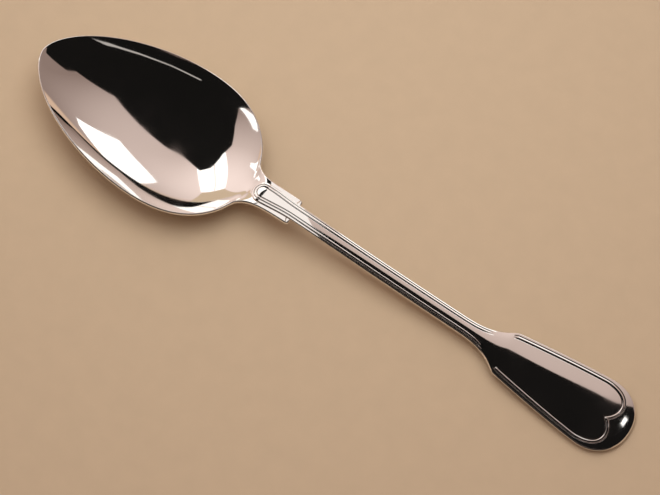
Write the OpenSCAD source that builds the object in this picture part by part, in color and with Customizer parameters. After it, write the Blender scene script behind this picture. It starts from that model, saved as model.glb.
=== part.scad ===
// Table spoon in the double-thread fiddle pattern.
// It lies on a table at z = 0, on the underside of its bowl and on the end of its handle.
// X runs from the tip of the bowl to the end of the handle, Y across, Z up.

/* [Overall] */
// Length from the tip of the bowl to the end of the handle
spoon_len = 206; // [195:1:225]

/* [Bowl] */
// Length of the bowl, from its tip to the heel line
bowl_len = 75; // [68:1:84]
// Greatest width of the bowl
bowl_w = 46; // [40:1:52]
// Distance from the heel line to the widest section
bowl_widest = 28; // [22:1:34]
// How pointed the tip is: 0.5 is round, more is sharper
tip_point = 0.58; // [0.5:0.01:0.75]
// How square the heel end of the bowl is: 2 is an ellipse
heel_square = 2.35; // [1.9:0.05:2.8]
// Thickness of the metal at the rim
rim_t = 1.1; // [0.8:0.05:1.6]
// Thickness of the metal at the bottom of the bowl
bottom_t = 1.3; // [0.9:0.05:2]
// Height of the rim at the tip, above its height at the heel
rim_rise = 5.2; // [3:0.1:8]
// Extra height of the rim halfway along the bowl
rim_bow = 0.8; // [0:0.1:2]
// Steepness of the wall at the heel: 2 is a plain dish, more is flatter at the bottom
heel_steep = 2.3; // [2:0.05:3]
// Steepness of the wall at the tip
tip_steep = 3.4; // [2:0.05:4]
// Depth by which the underside is flattened where it rests
rest_flat = 0.2; // [0.05:0.05:0.4]

/* [Neck] */
// Length of the neck plate, from the heel line to the ears
neck_len = 16.3; // [12:0.1:20]
// Width of the neck plate at its ears
ear_w = 8.6; // [7.4:0.1:11]
// Extra half-width of the neck where it meets the bowl
neck_fillet = 2; // [1:0.1:3.5]
// Length over which that fillet fades along the neck
neck_fillet_len = 3; // [1.2:0.1:4]
// Length of the handle's tongue on the neck plate
tongue_len = 15; // [9:0.5:15.5]
// Width of the tongue near its round end
tongue_w = 6.5; // [5.4:0.1:7.4]
// Height of the tongue's side above the neck plate
tongue_step = 0.55; // [0.3:0.05:0.9]

/* [Stem] */
// Width of the stem
stem_w = 5.2; // [4.4:0.1:6.4]
// Extra width that the stem gains from the neck to the fiddle end
stem_taper = 0.3; // [0:0.05:0.8]
// Thickness of the stem at its side
stem_side_t = 1.9; // [1.4:0.05:2.6]
// Rise of the stem's top above its side
stem_crown = 0.7; // [0.3:0.05:1]
// The same rise where the stem reaches the neck
neck_crown = 0.2; // [0.1:0.05:0.7]
// Drop of the stem's underside below its side
stem_belly = 0.8; // [0.3:0.05:1.2]
// Upward bow of the stem before the neck
neck_arch = 1.9; // [0:0.1:2.5]

/* [Fiddle end] */
// Length of the fiddle end, from the end of the handle to its shoulders
fiddle_len = 42; // [34:1:50]
// Greatest width of the fiddle end
fiddle_w = 22.2; // [18:0.2:26]
// Distance from the end of the handle to the widest section
fiddle_widest = 11; // [8:0.5:14]
// Width of the fiddle end at its shoulders
shoulder_w = 14.6; // [11:0.1:16]
// Length of the hollow curve from the shoulders to the stem
flare_len = 16; // [10:0.5:22]
// How square the end is: 2 is an ellipse
end_square = 2.15; // [2:0.05:2.8]
// Thickness of the fiddle end at its edge
fiddle_side_t = 1.5; // [1.1:0.05:2.2]
// Rise of the middle of the fiddle end above its edge
fiddle_crown = 0.75; // [0.3:0.05:1.3]
// Drop of the middle of the underside below the edge
fiddle_belly = 0.35; // [0.1:0.05:0.8]

/* [Threads] */
// Width of a thread
thread_w = 0.75; // [0.5:0.05:1]
// Height of a thread
thread_h = 0.25; // [0.1:0.05:0.4]
// Distance from the stem's edge to the middle of its thread
stem_thread_inset = 1.15; // [0.9:0.05:1.5]
// Distance from the fiddle end's edge to the middle of its thread
fiddle_thread_inset = 1.5; // [1.1:0.05:1.8]
// Distance from the end of the handle to the cusp where the threads meet
cusp_from_end = 7.6; // [5.6:0.1:9.4]
// Distance from the end of the handle to the furthest point of the curl
curl_from_end = 5.3; // [3.8:0.1:6.2]
// Distance of that point from the middle line
curl_off_axis = 4.3; // [3.5:0.1:6]
// Distance from the end of the handle at which the curl leaves the edge
curl_start = 13; // [11.5:0.1:18]
// Length over which a thread sinks away at its open end
thread_fade = 4; // [1:0.5:6]

/* [Lie on the table] */
// Height of the handle's edge at its end, before the tip turns down
end_z = 1.75; // [1.6:0.05:2.4]
// Height of the tongue's edge at the heel line
heel_z = 8.3; // [7.4:0.1:11]
// Drop of the very end of the handle
tip_drop = 0.45; // [0:0.05:0.8]
// Length over which that drop fades
tip_drop_len = 4; // [2:0.5:8]

/* [Fit] */
// Solder gap between pieces
solder_gap = 0.03; // [0.02:0.01:0.08]

/* [Hidden] */

silver = [0.86, 0.85, 0.83];
thread_silver = [0.93, 0.92, 0.9];

// Places along X, and the same places as distances from the end of the handle
x_tip = -spoon_len / 2;
x_end = spoon_len / 2;
x_heel = x_tip + bowl_len;
x_ear = x_heel + neck_len;
x_wide = x_heel - bowl_widest;
heel_q = spoon_len - bowl_len;
ear_q = heel_q - neck_len;
tongue_q = ear_q + tongue_len;
turn_q = tongue_q - tongue_w / 2;

bowl_half = bowl_w / 2;
stem_half = stem_w / 2;
tongue_half = tongue_w / 2;
shoulder_half = shoulder_w / 2;
fiddle_half = fiddle_w / 2;

// Curve exponents: bowl side towards the tip, fiddle side, shoulder flare, neck bow
tip_curve = 1.8;
side_curve = 1.25;
flare_curve = 3;
bow_curve = 8;
// Rounding of the shoulder corner, of the corner between bowl and neck, and of the way into the hollow
corner_soft = 0.5;
heel_corner_soft = 0.8;
heel_soft = 0.3;
// Distance past the heel line over which the hollow runs out on the neck, and the share of it that stays
neck_dish = 10;
neck_dish_left = 0.35;
// Places, as shares of the bowl's length from the tip, between which the wall's steepness changes
steep_from = 0.2;
steep_to = 0.87;
// Place along the handle, as a share of the way to the ears, from which the stem's crown gets lower
crown_from = 0.7;
// Length of the first sliver of the bowl's tip and of the handle's two ends
tip_sliver = 0.02;
// Length of the sloped step under the tongue
step_len = 0.2;
// Width of the flat land on the rim
rim_land = 0.25;
// Distance over which the neck's belly runs out under the bowl
belly_fade = 16;
// How much closer strips lie towards the rim, sections towards the tip, and thread sections towards the turn
rim_crowding = 0.8;
tip_crowding = 2;
leg_crowding = 1.6;
// Thread height that is left at a faded end
fade_floor = 0.15;
// Place on the flare, as a share of its length, at which the stem's thread begins
leg_start_share = 0.35;
// Shape of the curl: how far it keeps along the edge, round the lobe, back from it and in to the cusp
edge_hold = 0.55;
lobe_hold = 0.7;
lobe_return = 0.4;
cusp_lean = 0.5;
cusp_rise = 0.2;

// Counts of strips across and of sections along each stretch
across_bowl = 24;
across_handle = 12;
along_tip = 16;
along_heel = 16;
along_neck = 9;
along_stem = 16;
along_flare = 9;
along_side = 9;
along_end = 10;
along_leg = 22;
along_turn = 14;
along_curl = 12;

function ease(from, to, s) =
    let (t = min(1, max(0, (s - from) / (to - from)))) t * t * (3 - 2 * t);
function blend(a, b, t) = a + (b - a) * t;
function soft_min(a, b, r) = (a + b - sqrt((a - b) * (a - b) + r * r)) / 2;
function soft_max(a, b, r) = (a + b + sqrt((a - b) * (a - b) + r * r)) / 2;
function soft_rise(s, r) = (s + sqrt(s * s + r * r)) / 2;
function along(from, to, count) = [for (i = [0:count]) blend(from, to, i / count)];
function bezier(p, t) =
    let (u = 1 - t) u * u * u * p[0] + 3 * u * u * t * p[1] + 3 * u * t * t * p[2] + t * t * t * p[3];

// Handle seen from above: half-width at a distance q from its end
function fiddle_side(q) =
    fiddle_half - (fiddle_half - shoulder_half)
        * pow(max(0, min(q, fiddle_len) - fiddle_widest) / (fiddle_len - fiddle_widest), side_curve);
function flare_share(q) = pow(max(0, 1 - (q - fiddle_len) / flare_len), flare_curve);
function taper(q) = stem_taper / 2 * min(1, max(0, (ear_q - q) / (ear_q - fiddle_len)));
function flare(q) = stem_half + taper(q) + (shoulder_half - stem_half) * flare_share(q);
function plain_half(q) =
    soft_min(fiddle_side(q), flare(q), corner_soft * min(1, flare_share(q)))
        + (tongue_half - stem_half) * ease(ear_q, turn_q, q);
function end_cap(q) = pow(1 - pow(max(0, 1 - q / fiddle_widest), end_square), 1 / end_square);
function tongue_cap(q) =
    let (t = min(1, max(0, (q - turn_q) / tongue_half))) sqrt(1 - t * t);
function handle_half(q) = plain_half(q) * (q < fiddle_widest ? end_cap(q) : tongue_cap(q));

// Handle seen from the side
function stem_share(q) = ease(fiddle_len, fiddle_len + flare_len, q);
function bow(t) =
    let (peak = bow_curve / (bow_curve + 1)) pow(t, bow_curve) * (1 - t) / (pow(peak, bow_curve) * (1 - peak));
function line_z(q) =
    blend(end_z, heel_z, q / heel_q) + neck_arch * bow(min(1, q / heel_q)) - tip_drop * exp(-q / tip_drop_len);
function edge_z(q) =
    line_z(q) - bowl_depth * hollow(x_end - q, min(plain_half(q), tongue_half), bowl_half - rim_land);
function fullness(q, y) =
    let (w = handle_half(q), full = plain_half(q)) max(0, w * w - y * y) / (full * full);
function crown(q) =
    blend(blend(fiddle_crown, stem_crown, stem_share(q)), neck_crown, ease(ear_q * crown_from, ear_q, q));
function handle_top(q, y) = edge_z(q) + crown(q) * fullness(q, y);
function handle_under(q, y) =
    max(0, edge_z(q) - blend(fiddle_side_t, stem_side_t, stem_share(q))
        - blend(fiddle_belly, stem_belly, stem_share(q)) * fullness(q, y));

// Bowl and neck plate seen from above: squared share of the full width, below zero past the heel
function bowl_share(x) =
    let (t = x < x_wide ? (x_wide - x) / (x_wide - x_tip) : (x - x_wide) / bowl_widest)
    x < x_wide ? pow(max(0, 1 - pow(t, tip_curve)), 2 * tip_point) : 1 - pow(t, heel_square);
function neck_half(x) =
    ear_w / 2 + neck_fillet * exp(-max(-1, (x - x_heel) / neck_fillet_len));
function bowl_edge(x) = bowl_half * sqrt(max(0, bowl_share(x)));
function body_half(x) =
    x < x_wide ? bowl_edge(x)
    : soft_max(bowl_edge(x), neck_half(x), heel_corner_soft * ease(x_wide, x_heel, x));

// Bowl and neck plate seen from the side
function plate_z(x) = line_z(x_end - x) - tongue_step;
function rim_z(x) =
    let (t = (x_heel - x) / bowl_len)
    t < 0 ? plate_z(x) : plate_z(x_heel) + rim_rise * t + rim_bow * sin(180 * t);
function steep(x) =
    blend(tip_steep, heel_steep, ease(x_tip + bowl_len * steep_from, x_tip + bowl_len * steep_to, x));
function heel_blend(x) =
    heel_soft * ease(x_wide, x_heel, x) * blend(1, neck_dish_left, ease(x_heel, x_heel + neck_dish, x));
function hollow(x, y, half) =
    let (s = bowl_share(x) - y * y / (half * half),
         w = body_half(x),
         r = heel_blend(x) * max(0, 1 - y * y / (w * w)))
    1 - pow(1 - min(1, soft_rise(s, r)), steep(x) / 2);
under_depth = rim_z(x_wide) - rim_t + rest_flat;
bowl_depth = under_depth + rim_t - bottom_t - rest_flat;
function plate_share(x) = ease(x_heel - belly_fade, x_heel, x);
plate_t = stem_side_t - tongue_step;
function bowl_top(x, y) = rim_z(x) - bowl_depth * hollow(x, y, bowl_half - rim_land);
function bowl_under(x, y) =
    let (w = body_half(x))
    max(0, rim_z(x) - blend(rim_t, plate_t, plate_share(x))
        - stem_belly * plate_share(x) * max(0, 1 - y * y / (w * w))
        - under_depth * hollow(x, y, bowl_half));

// Skin over a row of closed sections that have the same number of points
module skin(sections) {
    n = len(sections[0]);
    last = len(sections) - 1;
    sides = [
        for (i = [0:last - 1], j = [0:n - 1])
            let (a = i * n + j, b = i * n + (j + 1) % n)
            each [[a, b, b + n], [a, b + n, a + n]]
    ];
    caps = [[for (j = [n - 1:-1:0]) j], [for (j = [0:n - 1]) last * n + j]];
    polyhedron(points = [for (s = sections) each s], faces = concat(sides, caps));
}

// Sections along the neck, shared by the plate and by the tongue that lies on it
neck_xs = along(x_heel, x_ear, along_neck);
bowl_xs = concat(
    [for (i = [0:along_tip]) blend(x_tip + tip_sliver, x_wide, pow(i / along_tip, tip_crowding))],
    [for (i = [1:along_heel - 1]) x_wide + bowl_widest * sin(90 * i / along_heel)],
    neck_xs);

// Bowl with the neck plate and its two ears, raised from one blank
module bowl() {
    turn = 90 * rim_crowding;
    shares = [for (i = [0:across_bowl]) sin(turn * (2 * i / across_bowl - 1)) / sin(turn)];
    color(silver)
        skin([
            for (x = bowl_xs)
                let (w = body_half(x))
                concat(
                    [for (s = shares) [x, s * w, bowl_top(x, s * w)]],
                    [for (i = [across_bowl:-1:0]) [x, shares[i] * w, bowl_under(x, shares[i] * w)]])
        ]);
}

// Distances from the end at which the handle has a section
tongue_qs = [for (i = [0:along_end]) tongue_q - tip_sliver - tongue_half * (1 - cos(90 * i / along_end))];
handle_qs = concat(
    tongue_qs,
    [for (x = neck_xs) if (x_end - x < turn_q - step_len) x_end - x],
    [ear_q - step_len],
    [for (i = [1:along_stem]) blend(ear_q - step_len, fiddle_len + flare_len, i / along_stem)],
    [for (i = [1:along_flare]) blend(fiddle_len + flare_len, fiddle_len - corner_soft, i / along_flare)],
    [for (i = [1:along_side]) blend(fiddle_len - corner_soft, fiddle_widest, i / along_side)],
    [for (i = [1:along_end]) fiddle_widest - (fiddle_widest - tip_sliver) * sin(90 * i / along_end)]);

// Handle: stem and fiddle end in one piece, with a round-ended tongue that laps the neck plate
module handle() {
    shares = [for (i = [0:across_handle]) sin(90 * (2 * i / across_handle - 1))];
    function under(q, y) =
        q >= ear_q ? bowl_top(x_end - q, y) + solder_gap : handle_under(q, y);
    color(silver)
        skin([
            for (q = handle_qs)
                let (w = handle_half(q), x = x_end - q)
                concat(
                    [for (s = shares) [x, s * w, handle_top(q, s * w)]],
                    [for (i = [across_handle:-1:0]) [x, shares[i] * w, under(q, shares[i] * w)]])
        ]);
}

// Half-round profile of a thread: share of its half-width, share of its height
thread_profile = [[-1, 0], [-0.7, 0.75], [0, 1], [0.7, 0.75], [1, 0]];

// Ring of a thread at a point [q, y], laid out along a direction across it, no further over than least_y
function thread_ring(point, out, height, least_y) = [
    for (p = thread_profile)
        let (q = point[0] + out[0] * p[0] * thread_w / 2,
             y = max(least_y, point[1] + out[1] * p[0] * thread_w / 2))
        [x_end - q, y, handle_top(q, y) + solder_gap + height * p[1]]
];
function across(path, i) =
    let (d = path[min(len(path) - 1, i + 1)] - path[max(0, i - 1)]) [d[1], -d[0]] / norm(d);

// Thread of the stem: two legs joined by a round turn at the end of the tongue
leg_from = fiddle_len + flare_len * leg_start_share;
turn_r = tongue_half - stem_thread_inset;
function leg_half(q) = handle_half(q) - stem_thread_inset;
leg_qs = [for (i = [0:along_leg]) blend(turn_q, leg_from, pow(1 - i / along_leg, leg_crowding))];
stem_path = concat(
    [for (q = leg_qs) [q, leg_half(q)]],
    [for (i = [1:along_turn - 1]) [turn_q + turn_r * sin(180 * i / along_turn), turn_r * cos(180 * i / along_turn)]],
    [for (i = [along_leg:-1:0]) [leg_qs[i], -leg_half(leg_qs[i])]]);
module stem_thread() {
    function height(q) = thread_h * max(fade_floor, ease(0, thread_fade, q - leg_from));
    color(thread_silver)
        skin([
            for (i = [0:len(stem_path) - 1])
                thread_ring(stem_path[i], across(stem_path, i), height(stem_path[i][0]), -stem_w)
        ]);
}

// Thread of the fiddle end: along one edge from the shoulder, round the curl and in to the cusp
function side_half(q) = handle_half(q) - fiddle_thread_inset;
curl_y = side_half(curl_start);
curl_out = [
    [curl_start, curl_y],
    [blend(curl_start, curl_from_end, edge_hold), curl_y],
    [curl_from_end, blend(curl_off_axis, curl_y, lobe_hold)],
    [curl_from_end, curl_off_axis]
];
curl_in = [
    [curl_from_end, curl_off_axis],
    [curl_from_end, curl_off_axis * (1 - lobe_return)],
    [blend(curl_from_end, cusp_from_end, cusp_lean), curl_off_axis * cusp_rise],
    [cusp_from_end, 0]
];
side_qs = along(fiddle_len, curl_start, along_leg);
fiddle_path = concat(
    [for (q = side_qs) [q, side_half(q)]],
    [for (i = [1:along_curl]) bezier(curl_out, i / along_curl)],
    [for (i = [1:along_curl]) bezier(curl_in, i / along_curl)]);
module fiddle_thread() {
    last = len(fiddle_path) - 1;
    run = fiddle_path[last] - fiddle_path[last - 1];
    mitre = [norm(run) / run[1], 0];
    function out(i) = i == last ? mitre : across(fiddle_path, i);
    function height(q) = thread_h * max(fade_floor, ease(0, thread_fade, fiddle_len - q));
    color(thread_silver)
        skin([
            for (i = [0:last])
                thread_ring(fiddle_path[i], out(i), height(fiddle_path[i][0]), solder_gap / 2)
        ]);
}
module fiddle_thread_left() {
    fiddle_thread();
}
module fiddle_thread_right() {
    mirror([0, 1, 0]) fiddle_thread();
}

bowl();
handle();
stem_thread();
fiddle_thread_left();
fiddle_thread_right();
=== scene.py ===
import math

import bpy
import numpy as np
from mathutils import Matrix, Vector


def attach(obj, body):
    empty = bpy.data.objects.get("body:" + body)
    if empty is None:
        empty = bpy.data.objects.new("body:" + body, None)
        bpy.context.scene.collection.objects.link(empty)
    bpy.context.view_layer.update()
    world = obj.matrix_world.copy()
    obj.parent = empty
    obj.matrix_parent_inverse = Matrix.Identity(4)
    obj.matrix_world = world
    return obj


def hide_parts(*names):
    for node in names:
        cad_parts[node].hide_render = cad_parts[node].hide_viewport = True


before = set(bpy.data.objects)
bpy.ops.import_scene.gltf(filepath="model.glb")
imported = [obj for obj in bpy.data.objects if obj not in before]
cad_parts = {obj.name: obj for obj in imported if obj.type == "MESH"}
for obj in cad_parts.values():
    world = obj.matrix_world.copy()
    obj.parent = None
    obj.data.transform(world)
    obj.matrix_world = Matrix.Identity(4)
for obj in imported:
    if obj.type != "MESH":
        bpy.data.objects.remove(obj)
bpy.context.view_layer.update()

# Bowl
# A pointed oval bowl and the neck plate behind it, with an ear on each side of the handle.
# It is raised from one blank of nickel silver, silver plated and polished to a mirror.
# A half is laid out from a grid, point by point, and mirrored, because no single bend gives a raised bowl.

# Lengths here and below are in millimetres; pieces are made in metres, a hair inside the solids' box
mm = 0.001
inside = np.array([0.9997, 0.9997, 1])

# Places along the spoon: the bowl's tip, its widest place and its heel, the ears' ends and the handle's end
x_tip, x_wide, x_heel, x_ear, x_end = -103.0, -56.0, -28.0, -11.7, 103.0
bowl_len = x_heel - x_tip
heel_q = x_end - x_heel

# Outline: half widths, the point of the tip, the squareness of the heel and the fillet into the neck plate
bowl_half, ear_half, least_half = 23.0, 4.3, 1e-6
tip_point, tip_curve, heel_square, widest_soft = 0.58, 1.8, 2.35, 0.15
neck_fillet, neck_fillet_len, heel_corner_soft = 2.0, 3.0, 0.8

# Metal: thickness at the rim and the bottom, the worn flat below, the rim's flat land and its rounding
rim_t, bottom_t, rest_flat = 1.1, 1.3, 0.2
rim_land, rim_round = 0.25, 0.5

# Rim from the side: its rise to the tip, its bow and the softness of its bend at the heel
rim_rise, rim_bow, rim_kink = 5.2, 0.8, 0.03

# Wall: steepness at the tip and the heel, the shares of the length between which it changes, and the way it
# runs out onto the neck plate
tip_steep, heel_steep, steep_from, steep_to = 3.4, 2.3, 0.2, 0.87
heel_soft, neck_dish, neck_dish_left = 0.3, 10.0, 0.35

# Line of the whole spoon from the side: heights of its ends, the arch at the neck and the turned-down end
end_z, heel_z, neck_arch, bow_curve = 1.75, 8.3, 1.9, 8.0
end_drop, end_drop_len = 0.45, 4.0

# Neck plate: the tongue's step above it, and the stem's side and belly that it takes on
tongue_step, stem_side_t, stem_belly, belly_fade = 0.55, 1.9, 0.8, 16.0


def ease(start, stop, s):
    t = np.clip((s - start) / (stop - start), 0, 1)
    return t * t * (3 - 2 * t)


def blend(a, b, t):
    return a + (b - a) * t


def soft_max(a, b, r):
    return (a + b + np.sqrt((a - b) ** 2 + r * r)) / 2


def soft_power(t, power, soft):
    low = soft ** power
    return ((t * t + soft * soft) ** (power / 2) - low) / ((1 + soft * soft) ** (power / 2) - low)


def line_z(q):
    t = np.clip(q / heel_q, 0, 1)
    peak = bow_curve / (bow_curve + 1)
    bow = t ** bow_curve * (1 - t) / (peak ** bow_curve * (1 - peak))
    return blend(end_z, heel_z, q / heel_q) + neck_arch * bow - end_drop * np.exp(-q / end_drop_len)


def bowl_share(x):
    to_tip = np.clip((x_wide - x) / (x_wide - x_tip), 0, 1)
    to_heel = np.maximum(0, (x - x_wide) / (x_heel - x_wide))
    tip_side = (1 - soft_power(to_tip, tip_curve, widest_soft)) ** (2 * tip_point)
    heel_side = 1 - soft_power(to_heel, heel_square, widest_soft)
    return np.where(x < x_wide, tip_side, heel_side)


def body_half(x):
    bowl_edge = bowl_half * np.sqrt(np.maximum(0, bowl_share(x)))
    neck = ear_half + neck_fillet * np.exp(-np.maximum(-1, (x - x_heel) / neck_fillet_len))
    soft = heel_corner_soft * ease(x_wide, x_heel, x)
    return np.where(x < x_wide, bowl_edge, soft_max(bowl_edge, neck, soft))


def rim_z(x):
    t = (x_heel - x) / bowl_len
    rise = (t + np.sqrt(t * t + rim_kink * rim_kink)) / 2
    plate = line_z(np.minimum(x_end - x, heel_q)) - tongue_step
    return plate + rim_rise * rise + rim_bow * np.sin(np.pi * np.clip(rise, 0, 1))


def hollow(x, y, half):
    w = np.maximum(body_half(x), least_half)
    share = bowl_share(x) - y * y / (half * half)
    r = heel_soft * ease(x_wide, x_heel, x) * np.maximum(0, 1 - y * y / (w * w))
    r = r * blend(1, neck_dish_left, ease(x_heel, x_heel + neck_dish, x))
    to_heel = ease(x_tip + bowl_len * steep_from, x_tip + bowl_len * steep_to, x)
    steep = blend(tip_steep, heel_steep, to_heel)
    return 1 - (1 - np.minimum(1, (share + np.sqrt(share * share + r * r)) / 2)) ** (steep / 2)


under_depth = float(rim_z(np.array(x_wide))) - rim_t + rest_flat
bowl_depth = under_depth + rim_t - bottom_t - rest_flat


def bowl_top(x, y):
    return rim_z(x) - bowl_depth * hollow(x, y, bowl_half - rim_land)


def bowl_under(x, y):
    w = np.maximum(body_half(x), least_half)
    plate = ease(x_heel - belly_fade, x_heel, x)
    t = blend(rim_t, stem_side_t - tongue_step, plate)
    belly = stem_belly * plate * np.maximum(0, 1 - y * y / (w * w))
    return np.maximum(0, rim_z(x) - t - belly - under_depth * hollow(x, y, bowl_half))


# Points spread along a line, closer together where closeness is larger
def spread(points, count, closeness):
    steps = np.hypot(*np.diff(points, axis=0).T) * (closeness[1:] + closeness[:-1]) / 2
    run = np.concatenate([[0], np.cumsum(steps)])
    at = np.linspace(0, run[-1], count)
    return np.stack([np.interp(at, run, points[:, 0]), np.interp(at, run, points[:, 1])], axis=1)


def gather(s, place, amount, reach):
    return amount * np.exp(-((s - place) / reach) ** 2)


def outward(points):
    first = points[1] * [1, -1]
    last = points[-2] * [1, -1]
    run = np.vstack([first, points, last])
    along = run[2:] - run[:-2]
    along /= np.linalg.norm(along, axis=1)[:, None]
    return np.stack([-along[:, 1], along[:, 0]], axis=1)


def lay_grid(name, places, recess=None):
    bpy.ops.object.select_all(action="DESELECT")
    rows, columns = places.shape[0], places.shape[1]
    bpy.ops.mesh.primitive_grid_add(x_subdivisions=columns - 1, y_subdivisions=rows - 1, size=2)
    piece = bpy.context.object
    piece.name = name
    piece.data.name = name
    flat = np.zeros(len(piece.data.vertices) * 3)
    piece.data.vertices.foreach_get("co", flat)
    flat = flat.reshape(-1, 3)
    column = np.rint((flat[:, 0] + 1) / 2 * (columns - 1)).astype(int)
    row = np.rint((flat[:, 1] + 1) / 2 * (rows - 1)).astype(int)
    piece.data.vertices.foreach_set("co", (places[row, column] * inside * mm).ravel())
    piece.data.update()
    if recess is not None:
        kept = piece.data.attributes.new("recess", "FLOAT", "POINT")
        kept.data.foreach_set("value", recess[row, column].astype(np.float32))
    return piece


merge_gap, sliver = 2e-6, 1e-7


def faces_out():
    bpy.ops.object.mode_set(mode="EDIT")
    bpy.ops.mesh.select_all(action="SELECT")
    bpy.ops.mesh.normals_make_consistent(inside=False)
    bpy.ops.object.mode_set(mode="OBJECT")


def close_up(piece, mirror):
    bpy.ops.object.mode_set(mode="EDIT")
    bpy.ops.mesh.select_all(action="SELECT")
    bpy.ops.mesh.remove_doubles(threshold=merge_gap)
    bpy.ops.object.mode_set(mode="OBJECT")
    if mirror:
        other = piece.modifiers.new("other_half", "MIRROR")
        other.use_axis = (False, True, False)
        other.use_clip = True
        other.merge_threshold = merge_gap
        bpy.ops.object.modifier_apply(modifier=other.name)
    bpy.ops.object.mode_set(mode="EDIT")
    bpy.ops.mesh.select_all(action="SELECT")
    bpy.ops.mesh.remove_doubles(threshold=merge_gap)
    bpy.ops.mesh.dissolve_degenerate(threshold=sliver)
    bpy.ops.object.mode_set(mode="OBJECT")
    faces_out()
    bpy.ops.object.shade_smooth()


# Half the outline in plan: the bowl's side, the ear's rounded corner and the plate's straight end
ear_round = 0.9
tip_points, heel_points, corner_points, end_points = 1200, 1600, 40, 60
side_x = np.concatenate([
    x_tip + (x_wide - x_tip) * np.linspace(0, 1, tip_points) ** 2,
    np.linspace(x_wide, x_ear - ear_round, heel_points)[1:]])
corner = np.linspace(0, np.pi / 2, corner_points)[1:]
plate_end = np.linspace(ear_half - ear_round, 0, end_points + 1)[1:]
edge = np.concatenate([
    np.stack([side_x, body_half(side_x)], axis=1),
    np.stack([x_ear - ear_round + ear_round * np.sin(corner),
              ear_half - ear_round + ear_round * np.cos(corner)], axis=1),
    np.stack([np.full(end_points, x_ear), plate_end], axis=1)])
edge[0, 1] = 0

# The grid's columns stand closer at the heel, the tip and the ears
edge_steps, ear_crowd, ear_lead = 300, 5, 0.1
at_heel = gather(edge[:, 0], place=x_heel - 0.5, amount=2.5, reach=4)
at_tip = gather(edge[:, 0], place=x_tip, amount=1.5, reach=3)
at_ear = ear_crowd * (edge[:, 0] > x_ear - ear_round - ear_lead)
edge = spread(edge, edge_steps, 1 + at_heel + at_tip + at_ear)
edge_out = outward(edge)

# Where a column starts on the middle line, for a place on the edge
spine_stops = [(x_tip, -92), (-97, -88), (x_wide, -58), (-32, -46), (-25, -26), (-16, -16.5),
               (x_ear - ear_round, -14)]
spine_x = np.interp(edge[:, 0], *zip(*spine_stops))

# The edge is rounded as the rim is, but nearly sharp where the plate's end butts against the stem
butt_round, butt_half, corner_half, end_lead = 0.12, 2.2, 3.4, 0.05
end_round = blend(butt_round, rim_round, ease(butt_half, corner_half, edge[:, 1]))
round_r = np.where(edge[:, 0] > x_ear - end_lead, end_round, rim_round)
inner = edge - edge_out * round_r[:, None]
inner[:, 1] = np.maximum(0, inner[:, 1])

# Rows from the middle up the inside, over the rim and back along the underside, closer towards the rim
top_steps, rim_steps, under_steps, row_crowd = 64, 12, 36, 0.86


def row_shares(start, stop, steps):
    return np.sin(np.linspace(start, stop, steps) * np.pi / 2) / np.sin(row_crowd * np.pi / 2)


def bowl_row(share, surface):
    x = blend(spine_x, inner[:, 0], share)
    y = inner[:, 1] * share
    return np.stack([x, y, surface(x, y)], axis=1)


rows = [bowl_row(share, bowl_top) for share in row_shares(0, row_crowd, top_steps)]
rim_high = bowl_top(inner[:, 0], inner[:, 1])
rim_low = bowl_under(inner[:, 0], inner[:, 1])
for turn in np.linspace(0, np.pi, rim_steps + 1)[1:-1]:
    place = inner + edge_out * (round_r * np.sin(turn))[:, None]
    z = (rim_high + rim_low) / 2 + (rim_high - rim_low) / 2 * np.cos(turn)
    rows.append(np.stack([place[:, 0], np.maximum(0, place[:, 1]), z], axis=1))
rows += [bowl_row(share, bowl_under) for share in row_shares(row_crowd, 0, under_steps)]
bowl = lay_grid("silver_bowl", np.array(rows))
close_up(bowl, True)

# Finish: the plating, its warmer patches, the tarnish and painted shade held in grooves, and the dulling by
# handling
plate_colour, warm_share, tarnish_and_shade = (0.91, 0.89, 0.87), (0.975, 0.97, 0.96), (0.04, 0.034, 0.028)
handling = 0.05


def noise_on(nodes, links, place, scale, detail):
    noise = nodes.new("ShaderNodeTexNoise")
    noise.inputs["Scale"].default_value = scale
    noise.inputs["Detail"].default_value = detail
    links.new(place, noise.inputs["Vector"])
    return noise


def tint_ramp(nodes, first, last, *others):
    ramp = nodes.new("ShaderNodeValToRGB")
    tints = ramp.color_ramp.elements
    for tint, (position, colour) in zip(tints, (first, last)):
        tint.position = position
        tint.color = (*colour, 1)
    for position, colour in others:
        tints.new(position).color = (*colour, 1)
    return ramp


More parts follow.
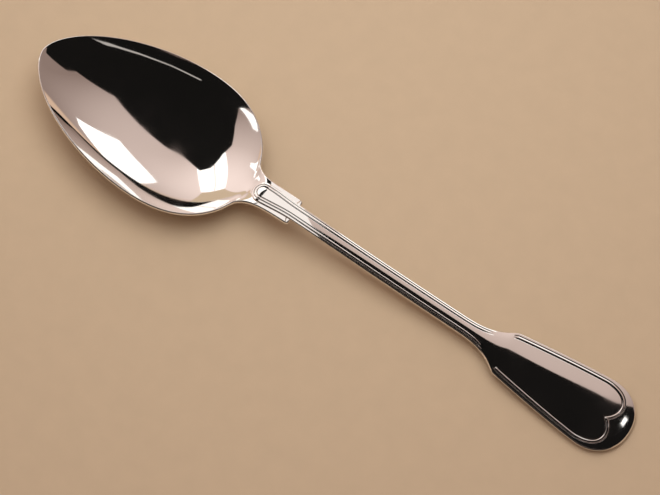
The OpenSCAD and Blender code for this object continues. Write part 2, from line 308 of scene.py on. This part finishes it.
def polished_silver(name, roughness, wiping):
    finish = bpy.data.materials.new(name)
    finish.use_nodes = True
    nodes = finish.node_tree.nodes
    links = finish.node_tree.links
    shader = nodes["Principled BSDF"]
    shader.inputs["Metallic"].default_value = 1
    where = nodes.new("ShaderNodeTexCoord").outputs["Object"]

    # Plating: a faint warm and cool drift, and dark tarnish with painted shade in the grooves
    drift = noise_on(nodes, links, where, scale=38, detail=2)
    warm = [part * share for part, share in zip(plate_colour, warm_share)]
    plating = tint_ramp(nodes, (0.35, warm), (0.65, plate_colour))
    links.new(drift.outputs["Fac"], plating.inputs["Fac"])
    # The recess colour is part real tarnish and part painted shade, dark enough to put out the grooves'
    # reflections
    recess = nodes.new("ShaderNodeAttribute")
    recess.attribute_name = "recess"
    tone = nodes.new("ShaderNodeMix")
    tone.data_type = "RGBA"
    tone.inputs["B"].default_value = (*tarnish_and_shade, 1)
    links.new(recess.outputs["Fac"], tone.inputs["Factor"])
    links.new(plating.outputs["Color"], tone.inputs["A"])
    links.new(tone.outputs["Result"], shader.inputs["Base Color"])

    # Handling: patches a little less bright than the rest
    patches = noise_on(nodes, links, where, scale=90, detail=4)
    dulled = nodes.new("ShaderNodeMapRange")
    dulled.inputs["From Min"].default_value = 0.4
    dulled.inputs["From Max"].default_value = 0.75
    dulled.inputs["To Min"].default_value = roughness
    dulled.inputs["To Max"].default_value = roughness + handling
    links.new(patches.outputs["Fac"], dulled.inputs["Value"])
    links.new(dulled.outputs["Result"], shader.inputs["Roughness"])

    # Wiping: hairline marks from the cloth, drawn out along the spoon
    drawn = nodes.new("ShaderNodeMapping")
    drawn.inputs["Scale"].default_value = wiping
    links.new(where, drawn.inputs["Vector"])
    hairlines = noise_on(nodes, links, drawn.outputs["Vector"], scale=1, detail=3)
    marks = nodes.new("ShaderNodeBump")
    marks.inputs["Strength"].default_value = 0.04
    marks.inputs["Distance"].default_value = 0.00002
    links.new(hairlines.outputs["Fac"], marks.inputs["Height"])
    links.new(marks.outputs["Normal"], shader.inputs["Normal"])
    return finish


bowl_finish = polished_silver("bowl_silver", roughness=0.035, wiping=(60, 500, 500))
bowl.data.materials.append(bowl_finish)
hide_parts("bowl")
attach(bowl, "root")

# Handle
# One struck bar of nickel silver, silver plated and polished, its tongue soldered onto the neck plate.
# A slim stem flares into a fiddle end with rounded shoulders.
# The edges are bevelled, and a channel beside them holds the threads.

# Outline by the distance q from the handle's end: the fiddle end, its flare into the stem, and the tongue
fiddle_len, fiddle_half, fiddle_widest, shoulder_half = 42.0, 11.1, 11.0, 7.3
flare_len, flare_curve, side_curve, end_square, corner_soft = 16.0, 3.0, 1.25, 2.15, 0.5
stem_half, stem_taper, tongue_half = 2.6, 0.15, 3.25
ear_q, tongue_q = 114.7, 129.7
turn_q = tongue_q - tongue_half

# Section: the crowns on top, the fiddle's side and belly, and the solder under the tongue
fiddle_crown, stem_crown, neck_crown, neck_crown_from = 0.75, 0.7, 0.2, 0.7
fiddle_side_t, fiddle_belly, solder_gap = 1.5, 0.35, 0.03


def plain_half(q):
    t = np.maximum(0, np.minimum(q, fiddle_len) - fiddle_widest) / (fiddle_len - fiddle_widest)
    side = fiddle_half - (fiddle_half - shoulder_half) * t ** side_curve
    share = np.maximum(0, 1 - (q - fiddle_len) / flare_len) ** flare_curve
    taper = stem_taper * np.clip((ear_q - q) / (ear_q - fiddle_len), 0, 1)
    flare = stem_half + taper + (shoulder_half - stem_half) * share
    r = corner_soft * np.minimum(1, share)
    body = (side + flare - np.sqrt((side - flare) ** 2 + r * r)) / 2
    return body + (tongue_half - stem_half) * ease(ear_q, turn_q, q)


def handle_half(q):
    end_cap = (1 - np.maximum(0, 1 - q / fiddle_widest) ** end_square) ** (1 / end_square)
    t = np.clip((q - turn_q) / tongue_half, 0, 1)
    return plain_half(q) * np.where(q < fiddle_widest, end_cap, np.sqrt(1 - t * t))


def stem_share(q):
    return ease(fiddle_len, fiddle_len + flare_len, q)


def edge_z(q):
    side = np.minimum(plain_half(q), tongue_half)
    return line_z(q) - bowl_depth * hollow(x_end - q, side, bowl_half - rim_land)


def fullness(q, y):
    w, full = handle_half(q), plain_half(q)
    return np.maximum(0, w * w - y * y) / (full * full)


def crown(q):
    plain = blend(fiddle_crown, stem_crown, stem_share(q))
    return blend(plain, neck_crown, ease(ear_q * neck_crown_from, ear_q, q))


def handle_top(q, y):
    return edge_z(q) + crown(q) * fullness(q, y)


def handle_under(q, y):
    t = blend(fiddle_side_t, stem_side_t, stem_share(q))
    belly = blend(fiddle_belly, stem_belly, stem_share(q))
    plain = np.maximum(0, edge_z(q) - t - belly * fullness(q, y))
    return np.where(q >= ear_q, bowl_top(x_end - q, y) + solder_gap, plain)


# Half the edge in plan, as distance from the end and from the middle: the tongue's turn and the long side
curl_start, step_len, tongue_crowd, tongue_lead = 13.0, 0.2, 3.0, 0.5
turn_points, side_points, long_steps = 200, 4000, 250
tongue_turn = np.linspace(0, np.pi / 2, turn_points)
stem_q = np.linspace(turn_q, curl_start, side_points)[1:]
plan = np.concatenate([
    np.stack([turn_q + tongue_half * np.cos(tongue_turn), tongue_half * np.sin(tongue_turn)], axis=1),
    np.stack([stem_q, plain_half(stem_q)], axis=1)])
at_shoulder = gather(plan[:, 0], place=fiddle_len, amount=2, reach=3)
at_tongue = tongue_crowd * (plan[:, 0] > turn_q - tongue_lead)
long_side = spread(plan, long_steps, 1 + at_shoulder + at_tongue)

# Two columns stand at the ears, where the underside steps from the stem's belly up onto the neck plate
edge_ear = np.argmin(np.abs(long_side[:, 0] - ear_q))
long_side[edge_ear, 0] = ear_q
long_side[edge_ear + 1, 0] = ear_q - step_len

# The rest of the edge, round the fiddle's end
widest_points, cap_points, end_steps = 60, 800, 90
widest_q = np.linspace(curl_start, fiddle_widest, widest_points)
cap_q = fiddle_widest * (1 - np.sin(np.linspace(0, np.pi / 2, cap_points)))
cap = np.concatenate([
    np.stack([widest_q, plain_half(widest_q)], axis=1),
    np.stack([cap_q[1:], handle_half(cap_q[1:])], axis=1)])
cap[-1] = 0
end_side = spread(cap, end_steps, np.ones(len(cap)))
edge = np.vstack([long_side, end_side[1:]])
n_long = len(long_side)

# Row directions: the edge's own normal, evened out so that the rows don't cross at the shoulder
even_steps, even_len, even_reach = 4000, 1.6, 2
edge_turn = np.unwrap(np.arctan2(*-outward(edge).T))
run = np.concatenate([[0], np.cumsum(np.hypot(*np.diff(edge, axis=0).T))])
even = np.linspace(0, run[-1], even_steps)
turn_even = np.interp(even, run, edge_turn)
width = int(even_len / (even[1] - even[0]))
kernel = np.exp(-np.linspace(-even_reach, even_reach, 2 * even_reach * width + 1) ** 2)
padded = np.pad(turn_even, even_reach * width, mode="reflect", reflect_type="odd")
smooth_turn = np.interp(run, even, np.convolve(padded, kernel / kernel.sum(), mode="valid"))
out = np.stack([np.sin(smooth_turn), np.cos(smooth_turn)], axis=1)


def bezier(a, b, c, d, t):
    a, b, c, d = np.array([a, b, c, d])
    t = t[:, None]
    u = 1 - t
    return u ** 3 * a + 3 * u * u * t * b + 3 * u * t * t * c + t ** 3 * d


# Middle line of the thread: beside the edge, then round the curl's lobe and in to the cusp
stem_inset, fiddle_inset = 1.15, 1.5
curl_q, curl_y, cusp_q = 5.3, 4.3, 7.6
lobe_in, lobe_up, cusp_down, cusp_in, cusp_low = 0.55, 0.7, 0.6, 0.5, 0.2
lobe_points, cusp_points = 400, 300
inset = blend(fiddle_inset, stem_inset, ease(fiddle_len, fiddle_len + flare_len / 2, edge[:, 0]))
bead = edge - out * inset[:, None]
leave = bead[n_long - 1]
lobe, cusp = (curl_q, curl_y), (cusp_q, 0)
lobe_pulls = (blend(leave[0], curl_q, lobe_in), leave[1]), (curl_q, blend(curl_y, leave[1], lobe_up))
cusp_pulls = (curl_q, curl_y * cusp_down), (blend(curl_q, cusp_q, cusp_in), curl_y * cusp_low)
curl = np.concatenate([
    bezier(leave, *lobe_pulls, lobe, np.linspace(0, 1, lobe_points)),
    bezier(lobe, *cusp_pulls, cusp, np.linspace(0, 1, cusp_points))[1:]])
bead[n_long - 1:] = spread(curl, end_steps, np.ones(len(curl)))

# Its sideways directions; the last one lies on the middle line, so that both halves meet there
bead_run = np.vstack([bead[1] * [1, -1], bead, bead[-1] + (bead[-1] - bead[-2])])
bead_along = bead_run[2:] - bead_run[:-2]
bead_along /= np.linalg.norm(bead_along, axis=1)[:, None]
bead_out = np.stack([-bead_along[:, 1], bead_along[:, 0]], axis=1)
bead_out *= np.sign(np.sum(bead_out * out, axis=1))[:, None]
cusp_along = bead_along[-1]
cusp_out = bead_out[-1]
bead_out[-1] = (cusp_out[0] - cusp_out[1] * cusp_along[0] / cusp_along[1], 0)


def beside_bead(offset):
    place = bead + bead_out * np.asarray(offset)[..., None]
    over = np.nonzero(place[n_long:-1, 1] < 0)[0]
    if len(over):
        place[n_long + over[0]:] = place[-1]
    return place


# Channel: it runs out in the flare and starts again at the shoulder, and is a little narrower on the stem
stem_channel_end, stem_channel_full = 47, 52
fiddle_channel_full, fiddle_channel_end = 41.6, 43.2
groove_depth, stem_channel_size = 0.2, 0.9
on_stem = ease(stem_channel_end, stem_channel_full, edge[:, 0])
on_fiddle = 1 - ease(fiddle_channel_full, fiddle_channel_end, edge[:, 0])
depth = np.where(np.arange(len(edge)) >= n_long, 1, np.maximum(on_stem, on_fiddle))
channel_size = blend(1.0, stem_channel_size, stem_share(edge[:, 0]))

# Its section from the inner side to the outer: distance from the thread's middle, share of the depth
channel = [(0.72, 0), (0.68, 0.12), (0.62, 0.5), (0.56, 0.86), (0.5, 1), (0.44, 1), (0, 1),
           (-0.44, 1), (-0.48, 1), (-0.51, 0.86), (-0.55, 0.5), (-0.59, 0.12), (-0.62, 0)]
field_inset, land_inset = 0.8, 0.66

# Where a column starts on the middle line
spine_q = np.where(edge[:, 0] > turn_q, turn_q, np.minimum(bead[:, 0], turn_q))
spine_end = cusp_q + field_inset * abs(bead_out[-1, 0])
spine_q[n_long - 1:] = np.linspace(spine_q[n_long - 1], spine_end, end_steps)
spine_q = np.minimum.accumulate(spine_q)
spine = np.stack([spine_q, np.zeros(len(edge))], axis=1)


def handle_row(place, drop):
    z = handle_top(place[:, 0], place[:, 1]) - drop
    return np.stack([x_end - place[:, 0], place[:, 1], z], axis=1)


def side_row(place, z):
    return np.stack([x_end - place[:, 0], np.maximum(0, place[:, 1]), z], axis=1)


def under_at(place):
    return handle_under(place[:, 0], np.maximum(0, place[:, 1]))


# Rows over the top: the plain field, the channel, and the land outside it
field_steps, land_steps, back_steps = 22, 10, 16
field_edge = beside_bead(-field_inset * channel_size)
land_edge = beside_bead(land_inset * channel_size)
rows = [handle_row(blend(spine, field_edge, r), 0) for r in np.linspace(0, 1, field_steps)]
for across, share in channel:
    rows.append(handle_row(beside_bead(-across * channel_size), groove_depth * depth * share))

# Bevels above and below: heights, largest shares of the edge's thickness, and widths as shares of height
edge_drop, tongue_drop, edge_rise, bevel_fade = 0.38, 0.24, 1.0, 10.0
most_drop, most_rise, lip_width, under_lip_width = 0.45, 0.5, 0.8, 0.6
bevel = [(0, 0), (0.06, 0.02), (0.12, 0.06), (0.17, 0.11), (0.24, 0.18),
         (0.5, 0.44), (0.86, 0.8), (0.93, 0.88), (0.98, 0.95), (1, 1)]
thick = edge_z(edge[:, 0]) - handle_under(edge[:, 0], edge[:, 1])
near_tongue = ease(ear_q - bevel_fade, ear_q - step_len, edge[:, 0])
drop = np.minimum(blend(edge_drop, tongue_drop, near_tongue), most_drop * thick)
rise = np.minimum(edge_rise, most_rise * thick)
lip = lip_width * drop
under_lip = under_lip_width * rise
lip_edge = edge - out * lip[:, None]
under_edge = edge - out * under_lip[:, None]
rows += [handle_row(blend(land_edge, lip_edge, r), 0) for r in np.linspace(0, 1, land_steps)]
lip_top = handle_top(lip_edge[:, 0], np.maximum(0, lip_edge[:, 1]))
for over, down in bevel[1:]:
    rows.append(side_row(lip_edge + out * (lip * over)[:, None], lip_top - drop * down))
under_z = under_at(under_edge)
for over, down in bevel[::-1]:
    rows.append(side_row(under_edge + out * (under_lip * over)[:, None], under_z + rise * down))

# Rows back along the underside to the middle
for r in np.linspace(1, 0, back_steps)[1:]:
    place = blend(spine, under_edge, r)
    rows.append(side_row(place, under_at(place)))

# Tarnish with painted shade stays in the channel's bed and walls, and less of it on the tongue
tongue_tarnish_and_shade, tarnish_and_shade_fade, tarnish_and_shade_reach, wall_tarnish_and_shade = 0.4, 12, 2, 0.1
channel_tarnish_and_shade = depth * blend(1, tongue_tarnish_and_shade, ease(ear_q - tarnish_and_shade_fade, ear_q + tarnish_and_shade_reach, edge[:, 0]))
# Share of tarnish and painted shade for each row and column of the handle's grid
groove_tarnish_and_shade = np.zeros((len(rows), len(edge)))
in_channel = slice(field_steps, field_steps + len(channel))
groove_tarnish_and_shade[in_channel] = [channel_tarnish_and_shade * share ** wall_tarnish_and_shade for across, share in channel]
handle = lay_grid("silver_handle", np.array(rows), groove_tarnish_and_shade)
close_up(handle, True)
handle_finish = polished_silver("handle_silver", roughness=0.04, wiping=(60, 700, 700))
handle.data.materials.append(handle_finish)
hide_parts("handle")
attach(handle, "root")

# Stem thread
# The inner thread of the stem: a fine half-round ridge along both sides that turns round on the tongue.
# It is struck with the handle, of the same plated metal, and sits in its channel.

# Section: a half round that stands a hair above the handle's face, and a foot below the channel's bed
bead_half, bead_steps, bead_high, bead_foot = 0.46, 11, 0.03, 0.02
foot_half, foot_low = 0.3, -0.15
quarter = math.pi / 2
bead_profile = [(math.sin(a) * bead_half, math.cos(a)) for a in np.linspace(-quarter, quarter, bead_steps)]
bead_profile += [(foot_half, foot_low), (-foot_half, foot_low)]


def thread_strip(name, first, last, fade, mirror):
    grow = depth[first:last] * fade
    wide = channel_size * depth
    wide[first:last] *= fade
    rings = []
    for across, up in bead_profile:
        place = beside_bead(across * wide)[first:last]
        y = np.maximum(0, place[:, 1])
        face = handle_top(place[:, 0], y)
        bed = face - groove_depth * depth[first:last]
        top = face + bead_high * grow
        z = bed - bead_foot + (top - bed + bead_foot) * up * grow
        rings.append(np.stack([x_end - place[:, 0], y, z], axis=1))
    rings.append(rings[0])
    strip = lay_grid(name, np.array(rings))
    close_up(strip, mirror)
    return strip


# It fades out to a point in the flare
stem_thread_end = 47.4
leg_last = int(np.argmin(np.abs(edge[:n_long, 0] - stem_thread_end)))
stem_fade = np.ones(leg_last)
stem_fade[-1] = 0
stem_thread = thread_strip("stem_thread_bead", 0, leg_last, stem_fade, True)
thread_finish = polished_silver("thread_silver", roughness=0.05, wiping=(60, 700, 700))
stem_thread.data.materials.append(thread_finish)
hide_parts("stem_thread")
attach(stem_thread, "root")

# Fiddle threads
# The inner thread of the fiddle end, one half on each side: it starts at the shoulder and follows the edge.
# Near the end it curls round a lobe and meets the other half in a cusp.
# Both are struck with the handle, of the same plated metal.

fiddle_thread_start = 43.0
side_first = int(np.argmin(np.abs(edge[:n_long, 0] - fiddle_thread_start)))
side_fade = np.ones(len(edge) - side_first)
side_fade[0] = 0
fiddle_left = thread_strip("fiddle_thread_left_bead", side_first, len(edge), side_fade, False)

# Its open end at the cusp is filled, and the other half is a mirrored copy
bpy.ops.object.mode_set(mode="EDIT")
bpy.ops.mesh.select_all(action="DESELECT")
bpy.ops.mesh.select_non_manifold()
bpy.ops.mesh.fill()
bpy.ops.object.mode_set(mode="OBJECT")
faces_out()
bpy.ops.object.duplicate(linked=False)
fiddle_right = bpy.context.object
fiddle_right.name = "fiddle_thread_right_bead"
fiddle_right.scale = (1, -1, 1)
bpy.ops.object.transform_apply(location=False, rotation=False, scale=True)
faces_out()
for piece, node in ((fiddle_left, "fiddle_thread_left"), (fiddle_right, "fiddle_thread_right")):
    piece.data.materials.append(thread_finish)
    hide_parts(node)
    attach(piece, "root")

# Stage
# A plain beige paper floor under plain soft studio light, with the camera at the photograph's angle.
# Plain cards stand round it, out of sight, and give the polished metal light and dark to mirror.

floor_size, floor_gap = 6, 0.00002
bpy.ops.object.select_all(action="DESELECT")
bpy.ops.mesh.primitive_plane_add(size=floor_size, location=(0, 0, -floor_gap))
floor = bpy.context.object
floor.name = "floor"
paper = bpy.data.materials.new("beige_paper")
paper.use_nodes = True
nodes = paper.node_tree.nodes
links = paper.node_tree.links
paper_place = nodes.new("ShaderNodeTexCoord").outputs["Object"]
mottle = noise_on(nodes, links, paper_place, scale=160, detail=3)
beige = tint_ramp(nodes, (0.3, (0.55, 0.425, 0.29)), (0.7, (0.57, 0.44, 0.3)))
links.new(mottle.outputs["Fac"], beige.inputs["Fac"])
links.new(beige.outputs["Color"], nodes["Principled BSDF"].inputs["Base Color"])
nodes["Principled BSDF"].inputs["Roughness"].default_value = 0.9
nodes["Principled BSDF"].inputs["Specular IOR Level"].default_value = 0.2
floor.data.materials.append(paper)

# Soft light all round: pinkish, and brightest on the side of the bowl.
# Just above the floor it is beige on that side and dark opposite.
world = bpy.data.worlds.new("studio")
bpy.context.scene.world = world
world.use_nodes = True
nodes = world.node_tree.nodes
links = world.node_tree.links
way = nodes.new("ShaderNodeTexCoord").outputs["Generated"]
towards = nodes.new("ShaderNodeVectorMath")
towards.operation = "DOT_PRODUCT"
towards.inputs[1].default_value = (-0.7, 0.4, 0.5)
links.new(way, towards.inputs[0])
upper = tint_ramp(
    nodes, (0.3, (0.285, 0.205, 0.175)), (0.95, (1.05, 0.86, 0.79)), (0.72, (0.67, 0.53, 0.475)))
links.new(towards.outputs["Value"], upper.inputs["Fac"])
lower = tint_ramp(nodes, (0, (0.03, 0.025, 0.02)), (0.15, (0.72, 0.5, 0.36)))
links.new(towards.outputs["Value"], lower.inputs["Fac"])
heights = nodes.new("ShaderNodeSeparateXYZ")
links.new(way, heights.inputs["Vector"])
low = nodes.new("ShaderNodeMapRange")
low.inputs["From Min"].default_value = 0.19
low.inputs["From Max"].default_value = 0.13
links.new(heights.outputs["Z"], low.inputs["Value"])
all_round = nodes.new("ShaderNodeMix")
all_round.data_type = "RGBA"
links.new(low.outputs["Result"], all_round.inputs["Factor"])
links.new(upper.outputs["Color"], all_round.inputs["A"])
links.new(lower.outputs["Color"], all_round.inputs["B"])
links.new(all_round.outputs["Result"], nodes["Background"].inputs["Color"])
nodes["Background"].inputs["Strength"].default_value = 1.0


# Flat cards that only polished metal sees; a card is plain, and its corners are in metres
def card(name, colour, corners):
    bpy.ops.object.select_all(action="DESELECT")
    bpy.ops.mesh.primitive_circle_add(vertices=len(corners), fill_type="NGON")
    sheet = bpy.context.object
    sheet.name = name
    for vertex, corner in zip(sheet.data.vertices, corners):
        vertex.co = corner
    skin = bpy.data.materials.new(name)
    skin.use_nodes = True
    shader = skin.node_tree.nodes["Principled BSDF"]
    shader.inputs["Base Color"].default_value = (0, 0, 0, 1)
    shader.inputs["Specular IOR Level"].default_value = 0
    shader.inputs["Emission Color"].default_value = (*colour, 1)
    shader.inputs["Emission Strength"].default_value = 1
    sheet.data.materials.append(skin)
    sheet.visible_camera = False
    sheet.visible_diffuse = False
    sheet.visible_shadow = False


# Corners given as a turn from the spoon's length and an angle from straight up, as seen from the bowl
bowl_middle = np.array([-0.06, 0, 0.005])


def around_bowl(distance, *angles):
    places = []
    for turn, tilt in np.radians(angles):
        way = np.array([math.sin(tilt) * math.cos(turn), math.sin(tilt) * math.sin(turn), math.cos(tilt)])
        places.append(bowl_middle + way * distance)
    return places


def level(z, *corners):
    return [(x, y, z) for x, y in corners]


white, near_white, dark = (1.5, 1.47, 1.42), (1.05, 0.98, 0.94), (0.007, 0.0065, 0.006)
light_beige, grey = (0.66, 0.5, 0.35), (0.5, 0.46, 0.43)
card("dark_card", dark, level(
    0.3, (0.5, 0.3), (0.13, 0.153), (0.09, 0.145), (0.05, 0.121), (0.035, 0.072), (-0.058, 0.06),
    (-0.1, 0.104), (-0.205, 0.15), (-0.24, 0.11), (-0.255, 0.0), (-0.298, -0.08), (-0.3, -0.22),
    (-0.345, -0.42), (-0.6, -0.6), (-0.3, -0.85), (-0.1, -0.98), (0.14, -0.98), (0.15, -0.3), (0.5, -0.2)))
card("neck_card", near_white, level(
    0.055, (-0.049, -0.012), (-0.001, -0.012), (-0.018, 0.04), (-0.049, 0.04)))
card("end_lamp", white, level(0.25, (0.175, 0.094), (0.195, 0.094), (0.195, 0.116), (0.175, 0.116)))
card("key_panel", white, around_bowl(4, (95.5, 41), (83, 66), (86, 72), (97, 84), (104, 84), (108, 66)))
card("left_pane", white, around_bowl(1, (133, 33), (130.5, 66), (139.2, 66), (159, 33)))
card("right_pane", white, around_bowl(1, (161, 33), (140, 66), (147.5, 66), (188, 36)))
card("under_panes", light_beige, around_bowl(1, (131, 66.5), (120, 89), (150, 89), (147, 66.5)))
card("side_strip", white, around_bowl(1, (181, 66), (182, 92), (187, 92), (185, 66)))
card("low_strip", white, around_bowl(0.9, (209, 71), (214, 65), (235, 60.5), (235, 62.5), (222, 69)))
card("front_strip", grey, around_bowl(
    0.45, (260, 58.9), (270, 58.4), (280, 55.6), (290, 51.6), (298, 47.4),
    (299.5, 49), (292, 53.4), (281, 57.3), (270, 59.9), (260, 60.2)))


# Square soft boxes light the floor, slightly cool; the metal sees the cards in their stead
def softbox(name, place, target, width, energy):
    data = bpy.data.lights.new(name, "AREA")
    data.shape = "SQUARE"
    data.size = width
    data.energy = energy
    data.color = (0.97, 1, 1)
    lamp = bpy.data.objects.new(name, data)
    bpy.context.scene.collection.objects.link(lamp)
    lamp.location = place
    lamp.rotation_euler = (Vector(target) - Vector(place)).to_track_quat("-Z", "Y").to_euler()
    lamp.visible_camera = False
    lamp.visible_glossy = False


softbox("overhead", place=(-0.06, 0.09, 0.28), target=(-0.06, 0.09, 0), width=0.25, energy=0.36)
softbox("back_fill", place=(-0.09, 0.15, 0.5), target=(-0.05, 0.08, 0), width=0.7, energy=1.0)

# Camera: its turn and height round the spoon, its distance, and the place it aims at
azimuth, elevation, distance = math.radians(34.327), math.radians(68), 0.7
aim_height, aim_right, aim_down = 0.006, 0.000327, 0.002838
right = np.array([math.cos(azimuth), math.sin(azimuth), 0])
away = math.cos(elevation)
back = np.array([math.sin(azimuth) * away, -math.cos(azimuth) * away, math.sin(elevation)])
up = np.cross(back, right)
aim = np.array([0, 0, aim_height]) + right * aim_right - up * aim_down
stand = aim + back * distance
camera_data = bpy.data.cameras.new("camera")
camera_data.lens = 131.38
camera_data.sensor_width = 36
camera = bpy.data.objects.new("camera", camera_data)
bpy.context.scene.collection.objects.link(camera)
camera.matrix_world = Matrix([[right[i], up[i], back[i], stand[i]] for i in range(3)] + [[0, 0, 0, 1]])
bpy.context.scene.camera = camera
bpy.context.scene.view_settings.view_transform = "Standard"
